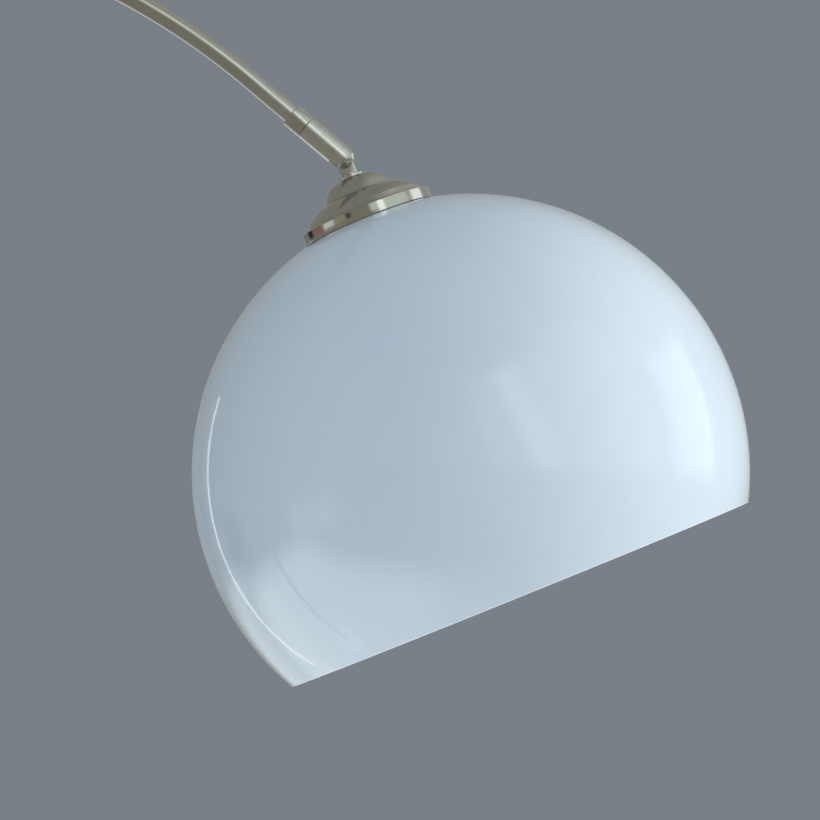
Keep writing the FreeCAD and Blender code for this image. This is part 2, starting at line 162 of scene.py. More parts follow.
def roundEdges(piece, width, segments=3, angle=28):
    pickOnly(piece)
    bpy.ops.object.modifier_add(type="BEVEL")
    bevel = piece.modifiers[-1]
    bevel.width = width * mm
    bevel.segments = segments
    bevel.limit_method = "ANGLE"
    bevel.angle_limit = math.radians(angle)
    bevel.use_clamp_overlap = True
    bpy.ops.object.modifier_apply(modifier=bevel.name)


def smoothPiece(piece, angle=32):
    pickOnly(piece)
    bpy.ops.object.shade_smooth_by_angle(angle=math.radians(angle))
    return piece


def cutAway(piece, cutter, operation="DIFFERENCE"):
    pickOnly(piece)
    bpy.ops.object.modifier_add(type="BOOLEAN")
    cut = piece.modifiers[-1]
    cut.operation = operation
    cut.solver = "EXACT"
    cut.object = cutter
    bpy.ops.object.modifier_apply(modifier=cut.name)
    pickOnly(cutter)
    bpy.ops.object.delete()
    pickOnly(piece)
    bpy.ops.object.mode_set(mode="EDIT")
    tidyMesh(1e-6)
    bpy.ops.object.mode_set(mode="OBJECT")
    return piece


def settle(piece):
    # puts the place into the mesh, so that the object sits at the origin
    pickOnly(piece)
    bpy.ops.object.transform_apply(location=True, rotation=True, scale=True)
    return piece


def block(place, low, high):
    # a plain box between two corners in a frame, used only to cut with
    pickNothing()
    bpy.ops.mesh.primitive_cube_add(size=1)
    cutter = bpy.context.object
    size = Vector(high) - Vector(low)
    middle = (Vector(high) + Vector(low)) / 2
    cutter.matrix_world = place @ Matrix.Translation(middle * mm) @ Matrix.Diagonal((*(size * mm), 1))
    return settle(cutter)


def bar(place, radius, low, high, way="Z", sides=48, middle=(0, 0)):
    # a plain round bar along one of a frame's axes, used to cut with or to build on
    pickNothing()
    bpy.ops.mesh.primitive_cylinder_add(vertices=sides, radius=radius * mm, depth=(high - low) * mm)
    cutter = bpy.context.object
    turn = {"Z": Matrix.Identity(4), "Y": Matrix.Rotation(-math.pi / 2, 4, "X"),
            "X": Matrix.Rotation(math.pi / 2, 4, "Y")}[way]
    shift = Vector((middle[0], middle[1], (low + high) / 2)) * mm
    cutter.matrix_world = place @ turn @ Matrix.Translation(shift)
    return settle(cutter)


def joined(parts):
    pickOnly(parts[0])
    for part in parts:
        part.select_set(True)
    bpy.ops.object.join()
    return bpy.context.object


def finishPiece(piece, body, slotName, material, *replaced):
    piece.data.materials.clear()
    piece.data.materials.append(material)
    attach(piece, body)
    if replaced:
        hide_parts(*replaced)
    return piece


# Materials: shared effects are node groups, each with named inputs and outputs

def newGroup(name, inputs, outputs):
    group = bpy.data.node_groups.new(name, "ShaderNodeTree")
    for label, kind, value in inputs:
        entry = group.interface.new_socket(label, in_out="INPUT", socket_type="NodeSocket" + kind)
        if value is not None:
            entry.default_value = value
    for label, kind in outputs:
        group.interface.new_socket(label, in_out="OUTPUT", socket_type="NodeSocket" + kind)
    return group, group.nodes.new("NodeGroupInput"), group.nodes.new("NodeGroupOutput")


def addNode(tree, kind, **values):
    node = tree.nodes.new("ShaderNode" + kind)
    for key, value in values.items():
        if hasattr(node, key):
            setattr(node, key, value)
        else:
            node.inputs[key.replace("_", " ")].default_value = value
    return node


def calc(tree, operation, first, second=None, clamp=False):
    node = tree.nodes.new("ShaderNodeMath")
    node.operation = operation
    node.use_clamp = clamp
    for k, value in enumerate((first, second)):
        if value is None:
            continue
        if isinstance(value, (int, float)):
            node.inputs[k].default_value = value
        else:
            tree.links.new(value, node.inputs[k])
    return node.outputs[0]


def span(tree, value, fromLow, fromHigh, toLow=0.0, toHigh=1.0):
    node = addNode(tree, "MapRange", From_Min=fromLow, From_Max=fromHigh, To_Min=toLow, To_Max=toHigh)
    node.clamp = True
    tree.links.new(value, node.inputs["Value"])
    return node.outputs["Result"]


def mixColours(tree, amount, low, high):
    node = tree.nodes.new("ShaderNodeMix")
    node.data_type = "RGBA"
    for key, value in ((0, amount), (6, low), (7, high)):
        if hasattr(value, "is_linked"):
            tree.links.new(value, node.inputs[key])
        else:
            node.inputs[key].default_value = value
    return node.outputs[2]


def makeTurnedLines():
    # fine lathe lines round a frame's Z axis: they vary with radius and height, not round the axis
    group, start, end = newGroup(
        "turnedLines", [("Vector", "Vector", None), ("Lines", "Float", 900.0), ("Drift", "Float", 0.15)],
        [("Height", "Float"), ("Streaks", "Float")])
    split = addNode(group, "SeparateXYZ")
    group.links.new(start.outputs["Vector"], split.inputs[0])
    x, y, z = split.outputs
    radius = calc(group, "SQRT", calc(group, "ADD", calc(group, "MULTIPLY", x, x), calc(group, "MULTIPLY", y, y)))
    turn = calc(group, "ARCTAN2", y, x)
    combine = addNode(group, "CombineXYZ")
    group.links.new(calc(group, "MULTIPLY", radius, start.outputs["Lines"]), combine.inputs[0])
    group.links.new(calc(group, "MULTIPLY", turn, start.outputs["Drift"]), combine.inputs[1])
    group.links.new(calc(group, "MULTIPLY", z, start.outputs["Lines"]), combine.inputs[2])
    fine = addNode(group, "TexNoise", Scale=1.0, Detail=4.0, Roughness=0.7)
    broad = addNode(group, "TexNoise", Scale=0.12, Detail=2.0)
    for noise in (fine, broad):
        group.links.new(combine.outputs[0], noise.inputs["Vector"])
    group.links.new(fine.outputs["Fac"], end.inputs["Height"])
    group.links.new(span(group, broad.outputs["Fac"], 0.3, 0.7), end.inputs["Streaks"])
    return group


def makeDrawnLines():
    # draw lines that run the length of a tube bent about an axis parallel to Y, or straight up it
    group, start, end = newGroup(
        "drawnLines", [("Vector", "Vector", None), ("Lines", "Float", 1400.0), ("Run", "Float", 6.0)],
        [("Height", "Float"), ("Streaks", "Float")])
    split = addNode(group, "SeparateXYZ")
    group.links.new(start.outputs["Vector"], split.inputs[0])
    x, y, z = split.outputs
    above = calc(group, "MAXIMUM", z, 0.0)
    reach = calc(group, "SQRT", calc(group, "ADD", calc(group, "MULTIPLY", x, x), calc(group, "MULTIPLY", above, above)))
    turn = calc(group, "ARCTAN2", z, calc(group, "MULTIPLY", x, -1.0))
    combine = addNode(group, "CombineXYZ")
    group.links.new(calc(group, "MULTIPLY", reach, start.outputs["Lines"]), combine.inputs[0])
    group.links.new(calc(group, "MULTIPLY", y, start.outputs["Lines"]), combine.inputs[1])
    group.links.new(calc(group, "MULTIPLY", turn, start.outputs["Run"]), combine.inputs[2])
    fine = addNode(group, "TexNoise", Scale=1.0, Detail=3.0, Roughness=0.65)
    broad = addNode(group, "TexNoise", Scale=0.2, Detail=2.0)
    for noise in (fine, broad):
        group.links.new(combine.outputs[0], noise.inputs["Vector"])
    group.links.new(fine.outputs["Fac"], end.inputs["Height"])
    group.links.new(span(group, broad.outputs["Fac"], 0.3, 0.7), end.inputs["Streaks"])
    return group


def makeHandling():
    # soft smudges and a few fine specks of dust
    group, start, end = newGroup(
        "handling", [("Vector", "Vector", None), ("Size", "Float", 14.0), ("Specks", "Float", 900.0)],
        [("Smudge", "Float"), ("Dust", "Float")])
    smudge = addNode(group, "TexNoise", Detail=5.0, Roughness=0.6, Distortion=0.6)
    specks = addNode(group, "TexVoronoi")
    group.links.new(start.outputs["Vector"], smudge.inputs["Vector"])
    group.links.new(start.outputs["Size"], smudge.inputs["Scale"])
    group.links.new(start.outputs["Vector"], specks.inputs["Vector"])
    group.links.new(start.outputs["Specks"], specks.inputs["Scale"])
    pick = addNode(group, "SeparateColor")
    group.links.new(specks.outputs["Color"], pick.inputs[0])
    rare = calc(group, "GREATER_THAN", pick.outputs[0], 0.965)
    near = calc(group, "LESS_THAN", specks.outputs["Distance"], 0.22)
    group.links.new(span(group, smudge.outputs["Fac"], 0.35, 0.72), end.inputs["Smudge"])
    group.links.new(calc(group, "MULTIPLY", rare, near), end.inputs["Dust"])
    return group


def makeEdgeWear():
    # brighter where a corner stands out, broken up by noise
    group, start, end = newGroup(
        "edgeWear", [("Vector", "Vector", None), ("Break", "Float", 260.0), ("Reach", "Float", 0.53)],
        [("Wear", "Float")])
    shape = addNode(group, "NewGeometry")
    noise = addNode(group, "TexNoise", Detail=4.0)
    group.links.new(start.outputs["Vector"], noise.inputs["Vector"])
    group.links.new(start.outputs["Break"], noise.inputs["Scale"])
    lift = calc(group, "SUBTRACT", shape.outputs["Pointiness"], start.outputs["Reach"])
    sharp = calc(group, "MULTIPLY", lift, 14.0, clamp=True)
    group.links.new(calc(group, "MULTIPLY", sharp, noise.outputs["Fac"], clamp=True), end.inputs["Wear"])
    return group


groups = {"turned": makeTurnedLines(), "drawn": makeDrawnLines(), "handling": makeHandling(),
          "wear": makeEdgeWear()}


def newMaterial(name, **values):
    material = bpy.data.materials.new(name)
    material.use_nodes = True
    tree = material.node_tree
    shader = tree.nodes["Principled BSDF"]
    for key, value in values.items():
        shader.inputs[key.replace("_", " ")].default_value = value
    return material, tree, shader


def placedCoords(tree, place):
    # object coordinates, measured in a piece's own frame
    coords = tree.nodes.new("ShaderNodeTexCoord")
    mapping = tree.nodes.new("ShaderNodeMapping")
    mapping.vector_type = "TEXTURE"
    mapping.inputs["Location"].default_value = place.translation
    mapping.inputs["Rotation"].default_value = place.to_euler("XYZ")
    tree.links.new(coords.outputs["Object"], mapping.inputs["Vector"])
    return mapping.outputs["Vector"]


def useGroup(tree, key, vector, **values):
    node = tree.nodes.new("ShaderNodeGroup")
    node.node_tree = groups[key]
    tree.links.new(vector, node.inputs["Vector"])
    for label, value in values.items():
        node.inputs[label].default_value = value
    return node.outputs


def bumpFrom(tree, shader, height, strength, distance):
    bump = addNode(tree, "Bump", Strength=strength, Distance=distance)
    tree.links.new(height, bump.inputs["Height"])
    tree.links.new(bump.outputs["Normal"], shader.inputs["Normal"])


nickelLook = {"colour": (0.50, 0.49, 0.44, 1), "bright": (0.70, 0.69, 0.65, 1), "rough": 0.17, "grain": 0.12}


def nickelMaterial(name, place, lines="turned", density=900.0, grain=1.0, rough=0.0):
    material, tree, shader = newMaterial(name, Metallic=1.0)
    vector = placedCoords(tree, place)
    marks = useGroup(tree, lines, vector, Lines=density)
    touch = useGroup(tree, "handling", vector)
    wear = useGroup(tree, "wear", vector)
    look = nickelLook
    toned = mixColours(tree, marks["Streaks"], look["colour"],
                       tuple(min(1, 1.10 * c) for c in look["colour"][:3]) + (1,))
    tree.links.new(mixColours(tree, wear["Wear"], toned, look["bright"]), shader.inputs["Base Color"])
    base = look["rough"] + rough
    roughness = calc(tree, "ADD", span(tree, touch["Smudge"], 0, 1, base - 0.03, base + 0.07),
                     calc(tree, "MULTIPLY", calc(tree, "SUBTRACT", marks["Height"], 0.5), look["grain"]))
    tree.links.new(roughness, shader.inputs["Roughness"])
    bumpFrom(tree, shader, marks["Height"], 0.12 * grain, 0.00004)
    return material


# colour and deep are tinted blue: a painted cast of cool room light on a sheet that is white
opalLook = {"colour": (0.715, 0.81, 0.89, 1), "deep": (0.68, 0.785, 0.875, 1), "rim": (0.93, 0.96, 0.98, 1),
            "rough": 0.11}


def opalMaterial(rimHeight):
    # milky acrylic: a faint cloudiness in the sheet, orange peel in the gloss, a rougher sawn rim whose colour is
    # painted lighter as a painted glow of light through the edge
    material, tree, shader = newMaterial("opalAcrylic", IOR=1.49)
    shader.inputs["Coat Weight"].default_value = 0.35
    shader.inputs["Coat Roughness"].default_value = 0.05
    shader.inputs["Subsurface Weight"].default_value = 0.25
    shader.inputs["Subsurface Radius"].default_value = (1.0, 1.05, 1.1)
    shader.inputs["Subsurface Scale"].default_value = 0.006
    vector = placedCoords(tree, headFrame)
    cloud = addNode(tree, "TexNoise", Scale=5.0, Detail=3.0, Distortion=0.4)
    peel = addNode(tree, "TexNoise", Scale=55.0, Detail=2.0)
    for noise in (cloud, peel):
        tree.links.new(vector, noise.inputs["Vector"])
    touch = useGroup(tree, "handling", vector, Size=9.0, Specks=260.0)
    split = addNode(tree, "SeparateXYZ")
    tree.links.new(vector, split.inputs[0])
    body = mixColours(tree, span(tree, cloud.outputs["Fac"], 0.35, 0.65), opalLook["deep"], opalLook["colour"])
    dusted = mixColours(tree, calc(tree, "MULTIPLY", touch["Dust"], 0.25), body, (0.55, 0.56, 0.55, 1))
    # a thin band at the sawn rim: painted lighter as a painted glow of light through the edge, and made rougher
    sawnRoughAndPaintedGlowMask = span(tree, split.outputs[2], rimHeight + 0.0006, rimHeight + 0.0001)
    tree.links.new(mixColours(tree, sawnRoughAndPaintedGlowMask, dusted, opalLook["rim"]), shader.inputs["Base Color"])
    rough = span(tree, touch["Smudge"], 0, 1, opalLook["rough"] - 0.03, opalLook["rough"] + 0.05)
    tree.links.new(calc(tree, "ADD", rough, calc(tree, "MULTIPLY", sawnRoughAndPaintedGlowMask, 0.2)), shader.inputs["Roughness"])
    bumpFrom(tree, shader, peel.outputs["Fac"], 0.05, 0.0006)
    return material


marbleLook = {"ground": (0.80, 0.79, 0.77, 1), "cloud": (0.62, 0.62, 0.62, 1), "vein": (0.30, 0.31, 0.33, 1)}


def marbleMaterial():
    # polished marble: clouded ground, thin broken grey veins at two sizes
    material, tree, shader = newMaterial("polishedMarble", IOR=1.5)
    shader.inputs["Coat Weight"].default_value = 0.6
    shader.inputs["Coat Roughness"].default_value = 0.04
    vector = placedCoords(tree, Matrix.Rotation(math.radians(35), 4, "Z") @ Matrix.Rotation(math.radians(22), 4, "X"))
    warp = addNode(tree, "TexNoise", Scale=5.0, Detail=6.0, Roughness=0.6)
    tree.links.new(vector, warp.inputs["Vector"])
    shift = addNode(tree, "VectorMath", operation="MULTIPLY_ADD")
    shift.inputs[1].default_value = (0.22, 0.22, 0.22)
    tree.links.new(warp.outputs["Color"], shift.inputs[0])
    tree.links.new(vector, shift.inputs[2])
    veins = []
    for scale, low, high in ((5.5, 0.0, 0.035), (13.0, 0.0, 0.02)):
        ridge = addNode(tree, "TexNoise", Scale=scale, Detail=5.0, Roughness=0.55)
        tree.links.new(shift.outputs[0], ridge.inputs["Vector"])
        distance = calc(tree, "ABSOLUTE", calc(tree, "SUBTRACT", ridge.outputs["Fac"], 0.5))
        veins.append(span(tree, distance, low, high, 1.0, 0.0))
    cloud = addNode(tree, "TexNoise", Scale=4.0, Detail=7.0, Roughness=0.62)
    tree.links.new(shift.outputs[0], cloud.inputs["Vector"])
    breakUp = span(tree, cloud.outputs["Fac"], 0.42, 0.62)
    ground = mixColours(tree, span(tree, cloud.outputs["Fac"], 0.40, 0.72, 0.0, 0.8), marbleLook["ground"], marbleLook["cloud"])
    bold = mixColours(tree, calc(tree, "MULTIPLY", veins[0], breakUp), ground, marbleLook["vein"])
    thin = calc(tree, "MULTIPLY", veins[1], 0.35)
    tree.links.new(mixColours(tree, thin, bold, marbleLook["vein"]), shader.inputs["Base Color"])
    touch = useGroup(tree, "handling", vector, Size=11.0)
    tree.links.new(span(tree, touch["Smudge"], 0, 1, 0.10, 0.22), shader.inputs["Roughness"])
    bumpFrom(tree, shader, cloud.outputs["Fac"], 0.03, 0.0005)
    return material


def plainMaterial(name, colour, rough, metallic=0.0, speck=0.06, grainScale=420.0, grain=0.1, **values):
    # moulded, cast or plated parts: the colour and gloss wander a little, over a fine grain
    material, tree, shader = newMaterial(name, Metallic=metallic, **values)
    vector = placedCoords(tree, floorFrame)
    noise = addNode(tree, "TexNoise", Scale=grainScale, Detail=4.0)
    tree.links.new(vector, noise.inputs["Vector"])
    touch = useGroup(tree, "handling", vector, Size=40.0)
    wear = useGroup(tree, "wear", vector)
    darker = tuple(c * (1 - 1.6 * speck) for c in colour) + (1,)
    toned = mixColours(tree, span(tree, noise.outputs["Fac"], 0.3, 0.7), darker, colour + (1,))
    lighter = tuple(min(1, c * 1.25 + 0.03) for c in colour) + (1,)
    tree.links.new(mixColours(tree, calc(tree, "MULTIPLY", wear["Wear"], 0.5), toned, lighter), shader.inputs["Base Color"])
    tree.links.new(span(tree, touch["Smudge"], 0, 1, max(0.03, rough - 0.05), rough + 0.08), shader.inputs["Roughness"])
    bumpFrom(tree, shader, noise.outputs["Fac"], grain, 0.0002)
    return material


def feltMaterial():
    material, tree, shader = newMaterial("pressedFelt", Roughness=0.95)
    shader.inputs["Sheen Weight"].default_value = 0.5
    vector = placedCoords(tree, floorFrame)
    fibres = addNode(tree, "TexNoise", Scale=900.0, Detail=6.0, Roughness=0.75, Distortion=1.5)
    pile = addNode(tree, "TexNoise", Scale=60.0, Detail=3.0)
    for noise in (fibres, pile):
        tree.links.new(vector, noise.inputs["Vector"])
    shade = mixColours(tree, span(tree, fibres.outputs["Fac"], 0.3, 0.7), (0.012, 0.012, 0.014, 1), (0.06, 0.06, 0.065, 1))
    tree.links.new(mixColours(tree, calc(tree, "MULTIPLY", pile.outputs["Fac"], 0.3), shade, (0.09, 0.09, 0.1, 1)), shader.inputs["Base Color"])
    bumpFrom(tree, shader, fibres.outputs["Fac"], 0.6, 0.0006)
    return material


bendWay = math.atan2(tipWay.x, tipWay.z)  # how far the arm has turned from straight up
collarSize = {"length": 14.2, "radius": 9.15, "edge": 0.45}
armSize = {"straightTip": 37.4, "upperRadius": 7.0, "lowerRadius": 8.0, "sides": 48}
bendEnd = seam - tipWay * (collarSize["length"] + armSize["straightTip"]) * mm
bendRadius = bendEnd.x / (1 - math.cos(bendWay))
bendCentre = Vector((bendRadius, 0, bendEnd.z - bendRadius * math.sin(bendWay)))
bendFrame = Matrix.Translation(bendCentre)

looks = {
    "opal": opalMaterial(-math.sqrt(domeRadius**2 - 0.1763**2)),
    "spun": nickelMaterial("spunNickel", headFrame, density=1300.0, rough=-0.05),
    "headNickel": nickelMaterial("turnedNickelHead", headFrame, density=1500.0, rough=0.12),
    "tipNickel": nickelMaterial("turnedNickelTip", tipFrame, density=1500.0, rough=0.06),
    "standNickel": nickelMaterial("turnedNickelStand", floorFrame, density=1500.0),
    "tubeNickel": nickelMaterial("drawnNickelTube", bendFrame, lines="drawn", grain=0.35, rough=0.06),
    "chrome": plainMaterial("brightNickel", (0.78, 0.77, 0.74), 0.08, metallic=1.0, speck=0.02, grain=0.02),
    "zinc": plainMaterial("zincSteel", (0.52, 0.53, 0.54), 0.32, metallic=1.0),
    "marble": marbleMaterial(),
    "felt": feltMaterial(),
    "nylon": plainMaterial("naturalNylon", (0.80, 0.79, 0.74), 0.42),
    "clear": plainMaterial("milkyPvc", (0.70, 0.71, 0.71), 0.35),
    "white": plainMaterial("whiteMoulding", (0.80, 0.80, 0.78), 0.22, speck=0.02, grain=0.05),
    "porcelain": plainMaterial("porcelain", (0.84, 0.83, 0.79), 0.12, speck=0.03, grain=0.04),
    "brass": plainMaterial("rolledBrass", (0.76, 0.57, 0.25), 0.26, metallic=1.0),
    "bulbMetal": plainMaterial("bulbMetal", (0.72, 0.72, 0.70), 0.25, metallic=1.0),
    "bulbBody": plainMaterial("bulbMoulding", (0.86, 0.86, 0.86), 0.38, speck=0.02, grain=0.05),
    "bulbOpal": plainMaterial("bulbOpal", (0.90, 0.91, 0.90), 0.30, speck=0.01, grain=0.02),
    "sheath": plainMaterial("flexSheath", (0.74, 0.74, 0.74), 0.45),
}
print("materials made:", len(looks))

slotLooks = {
    "marble": "marble", "felt": "felt", "zinc_steel": "zinc", "satin_nickel": "standNickel",
    "satin_nickel_tube": "tubeNickel", "spun_nickel": "spun", "bright_nickel": "chrome",
    "opal_shade": "opal", "clear_moulding": "clear", "nylon": "nylon", "white_moulding": "white",
    "porcelain": "porcelain", "brass": "brass", "bulb_metal": "bulbMetal", "bulb_moulding": "bulbBody",
    "bulb_opal": "bulbOpal", "flex_sheath": "sheath"}
for row in frame["record"]["subparts"]:
    node = nodes[row["node"]]
    node.data.materials.clear()
    node.data.materials.append(looks[slotLooks[row["material_slot"]]])


shadeSize = {"wall": 2.5, "rimDrop": 94.5, "rimSoft": 0.5, "hole": 5.3, "segments": 192, "rings": 128}


def makeShade():
    pickNothing()
    bpy.ops.mesh.primitive_uv_sphere_add(
        segments=shadeSize["segments"], ring_count=shadeSize["rings"], radius=domeRadius)
    dome = bpy.context.object
    dome.name = "shadeDome"
    dome.matrix_world = headFrame
    settle(dome)
    bpy.ops.object.mode_set(mode="EDIT")
    bpy.ops.mesh.select_all(action="SELECT")
    rim = domeCentre - domeWay * shadeSize["rimDrop"] * mm
    bpy.ops.mesh.bisect(plane_co=rim, plane_no=domeWay, clear_inner=True, clear_outer=False)
    bpy.ops.mesh.select_all(action="SELECT")
    holeHeight = math.sqrt(domeRadius**2 - (shadeSize["hole"] * mm)**2)
    bpy.ops.mesh.bisect(plane_co=domeCentre + domeWay * holeHeight, plane_no=domeWay,
                        clear_inner=False, clear_outer=True)
    tidyMesh()
    bpy.ops.object.mode_set(mode="OBJECT")
    bpy.ops.object.modifier_add(type="SOLIDIFY")
    wall = dome.modifiers[-1]
    wall.thickness = shadeSize["wall"] * mm
    wall.offset = -1
    wall.use_even_offset = True
    bpy.ops.object.modifier_apply(modifier=wall.name)
    roundEdges(dome, shadeSize["rimSoft"], segments=3, angle=50)
    smoothPiece(dome, 45)
    return finishPiece(dome, "head", "opal_shade", looks["opal"], "shade")


shade = makeShade()
print("shade made:", len(shade.data.polygons), "faces")


# Heights on the cap, as on the rest of the head, are in mm above the dome's centre
capSize = {
    "bandRadius": 49.0, "bandTop": 202.7, "ledge": (43.0, 203.5), "riser": (42.2, 207.0),
    "lowerMiddle": (36.3, 212.3), "tier": (25.6, 216.6), "upperMiddle": (21.5, 223.5),
    "top": 229.2, "flat": 11.0, "sheet": 1.2, "bore": 5.2, "roll": 0.9}
washerSize = {"radius": 9.6, "thick": 1.4, "bore": 5.03, "soft": 0.45}


def capOutline(inset, bottom):
    s = capSize

    def at(radius, height):
        return radius - inset, height - inset

    radius, top, roll = s["bandRadius"], s["bandTop"], s["roll"]
    return [
        (radius - inset, bottom), at(radius, top - roll),
        ("arc", at(radius - 0.29 * roll, top - 0.29 * roll), at(radius - roll, top)),
        at(*s["ledge"]), at(*s["riser"]), ("arc", at(*s["lowerMiddle"]), at(*s["tier"])),
        at(s["tier"][0] - 0.6, s["tier"][1]),
        ("arc", at(*s["upperMiddle"]), at(s["flat"], s["top"])), (s["bore"], s["top"] - inset)]


def makeCap():
    s = capSize
    bottom = math.sqrt((domeRadius / mm)**2 - (s["bandRadius"] - s["sheet"])**2) + 0.1
    outer = outlineOf(capOutline(0, bottom), 12)
    inner = outlineOf(capOutline(s["sheet"], bottom), 12)
    cap = turnPiece("shadeCap", headFrame, outer + inner[::-1], turns=160, bevel=0.22)
    finishPiece(cap, "head", "spun_nickel", looks["spun"], "shade_cap")
    w = washerSize
    low, high = s["top"], s["top"] + w["thick"]
    washer = turnPiece("capWasher", headFrame, [
        (w["bore"], low), (w["radius"], low), (w["radius"], high), (w["bore"], high)], bevel=w["soft"])
    finishPiece(washer, "head", "bright_nickel", looks["chrome"], "cap_washer")


makeCap()
print("cap made")


knuckleSize = {
    "radius": 9.0, "slot": 10.0, "tab": 8.4, "neck": 6.3, "clear": 0.3, "pin": 2.5, "stem": 5.0,
    "stemBore": 3.2, "stemEnd": 182.0, "shoulder": 230.65, "foot": 1.6, "chamber": 26.0}
barrelLength = (pivot - seam).length / mm


def makeBarrel():
    s = knuckleSize
    r = s["radius"]
    barrel = turnPiece("knuckleBarrel", tipFrame, [
        (0, -r), ("arc", (r * math.sin(0.785), -r * math.cos(0.785)), (r, 0)),
        (r, barrelLength - 0.35), (r - 0.35, barrelLength), (s["stem"] + 0.05, barrelLength),
        (s["stem"] + 0.05, s["chamber"]), (s["neck"], s["chamber"]), (s["neck"], 5), (0, 5)],
        turns=96, closed=False, curve=10)
    reach = s["neck"] + s["clear"]
    cutAway(barrel, block(tipFrame, (-20, -s["slot"] / 2, -20), (reach, s["slot"] / 2, reach)))
    cutAway(barrel, bar(tipFrame, 4.2, 6.6, 12, "Y"))
    cutAway(barrel, bar(tipFrame, s["pin"] + 0.03, -7.4, 12, "Y"))
    roundEdges(barrel, 0.22, segments=2, angle=35)
    smoothPiece(barrel)
    return finishPiece(barrel, "knuckle", "satin_nickel", looks["tipNickel"], "knuckle_barrel")


def makeTab():
    s = knuckleSize
    low = s["shoulder"] - pivotHeight / mm
    pivotFrame = axisFrame(pivot, domeWay)
    tab = bar(pivotFrame, s["neck"], -s["tab"] / 2, s["tab"] / 2, "Y", sides=64)
    tab.name = "neckTab"
    tab.data.name = "neckTab"
    neck = bar(pivotFrame, s["neck"], low, 0, sides=64)
    flat = s["tab"] / 2
    for side in (1, -1):
        near, far = sorted((flat * side, 20 * side))
        cutAway(neck, block(pivotFrame, (-20, near, low + s["foot"]), (20, far, 20)))
    cutAway(tab, neck, "UNION")
    stem = bar(pivotFrame, s["stem"], s["stemEnd"] - pivotHeight / mm, low + 1, sides=64)
    cutAway(tab, stem, "UNION")
    cutAway(tab, bar(pivotFrame, s["stemBore"], s["stemEnd"] - pivotHeight / mm - 1, -5.0))
    cutAway(tab, bar(pivotFrame, s["pin"] + 0.05, -10, 10, "Y"))
    roundEdges(tab, 0.3, segments=3, angle=35)
    smoothPiece(tab)
    return finishPiece(tab, "head", "satin_nickel", looks["headNickel"], "knuckle_tab")


def makeCollar():
    s = collarSize
    low, high = barrelLength + 0.15, barrelLength + s["length"]
    inside = armSize["upperRadius"] + 0.03
    collar = turnPiece("tipCollar", tipFrame, [
        (5.03, low), (s["radius"] - 0.35, low), (s["radius"], low + 0.35),
        (s["radius"], high - s["edge"]), (s["radius"] - s["edge"], high), (inside, high),
        (inside, low + 1.1), (5.03, low + 1.1)], bevel=0.12)
    return finishPiece(collar, "arm", "satin_nickel", looks["tipNickel"], "tip_collar")


makeBarrel()
makeTab()
makeCollar()
print("knuckle made")


def tubeAlongBend(name, radius, begin, end, straightBefore=0.0, straightAfter=0.0, wall=0.95):
    # the ring starts at an angle past the vertical foot, and is spun about the bend's centre
    pickNothing()
    bpy.ops.mesh.primitive_circle_add(vertices=armSize["sides"], radius=radius * mm)
    tube = bpy.context.object
    tube.name = name
    tube.data.name = name
    tube.matrix_world = (bendFrame @ Matrix.Rotation(begin, 4, "Y")
                         @ Matrix.Translation((-bendRadius, 0, -straightBefore * mm)))
    settle(tube)
    bpy.ops.object.mode_set(mode="EDIT")
    bpy.ops.mesh.select_all(action="SELECT")
    if straightBefore:
        way = Vector((math.sin(begin), 0, math.cos(begin)))
        bpy.ops.mesh.extrude_region_move(TRANSFORM_OT_translate={"value": way * straightBefore * mm})
    steps = max(6, int(math.degrees(end - begin) * 1.2))
    bpy.ops.mesh.spin(steps=steps, angle=end - begin, center=bendCentre, axis=(0, -1, 0))
    if straightAfter:
        way = Vector((math.sin(end), 0, math.cos(end)))
        bpy.ops.mesh.extrude_region_move(TRANSFORM_OT_translate={"value": way * straightAfter * mm})
    tidyMesh()
    bpy.ops.object.mode_set(mode="OBJECT")
    bpy.ops.object.modifier_add(type="SOLIDIFY")
    skin = tube.modifiers[-1]
    skin.thickness = wall * mm
    skin.offset = -1
    bpy.ops.object.modifier_apply(modifier=skin.name)
    return tube


joinAngle = math.radians(64.0)


def makeArm():
    s = armSize
    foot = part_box("arm_lower_tube")[0].z
    lower = tubeAlongBend("armLowerTube", s["lowerRadius"], 0.0, joinAngle,
                          straightBefore=(bendCentre.z - foot) / mm)
    roundEdges(lower, 0.2, segments=2, angle=50)
    smoothPiece(lower)
    finishPiece(lower, "arm", "satin_nickel_tube", looks["tubeNickel"], "arm_lower_tube")
    upper = tubeAlongBend("armUpperTube", s["upperRadius"], joinAngle - math.radians(7), bendWay,
                          straightAfter=s["straightTip"] + collarSize["length"] - 1.3)
    smoothPiece(upper, 40)
    finishPiece(upper, "arm", "satin_nickel_tube", looks["tubeNickel"], "arm_upper_tube")
    sleeve = tubeAlongBend("armSleeve", s["lowerRadius"] + 1.4, joinAngle - math.radians(1.5),
                           joinAngle + math.radians(1.0), wall=1.37)
    roundEdges(sleeve, 0.45, segments=3, angle=50)
    smoothPiece(sleeve)
    finishPiece(sleeve, "arm", "satin_nickel", looks["tubeNickel"], "arm_sleeve")


makeArm()
print("arm made, bend radius", round(bendRadius, 4))


# Heights on the stand are in mm above the floor
slabSize = {"radius": 170.0, "low": 3.0, "high": 58.0, "edge": 4.0, "recess": (32.0, 22.0), "stud": 6.0}
padSize = {"radius": 162.0, "thick": 3.0, "fray": 0.9}


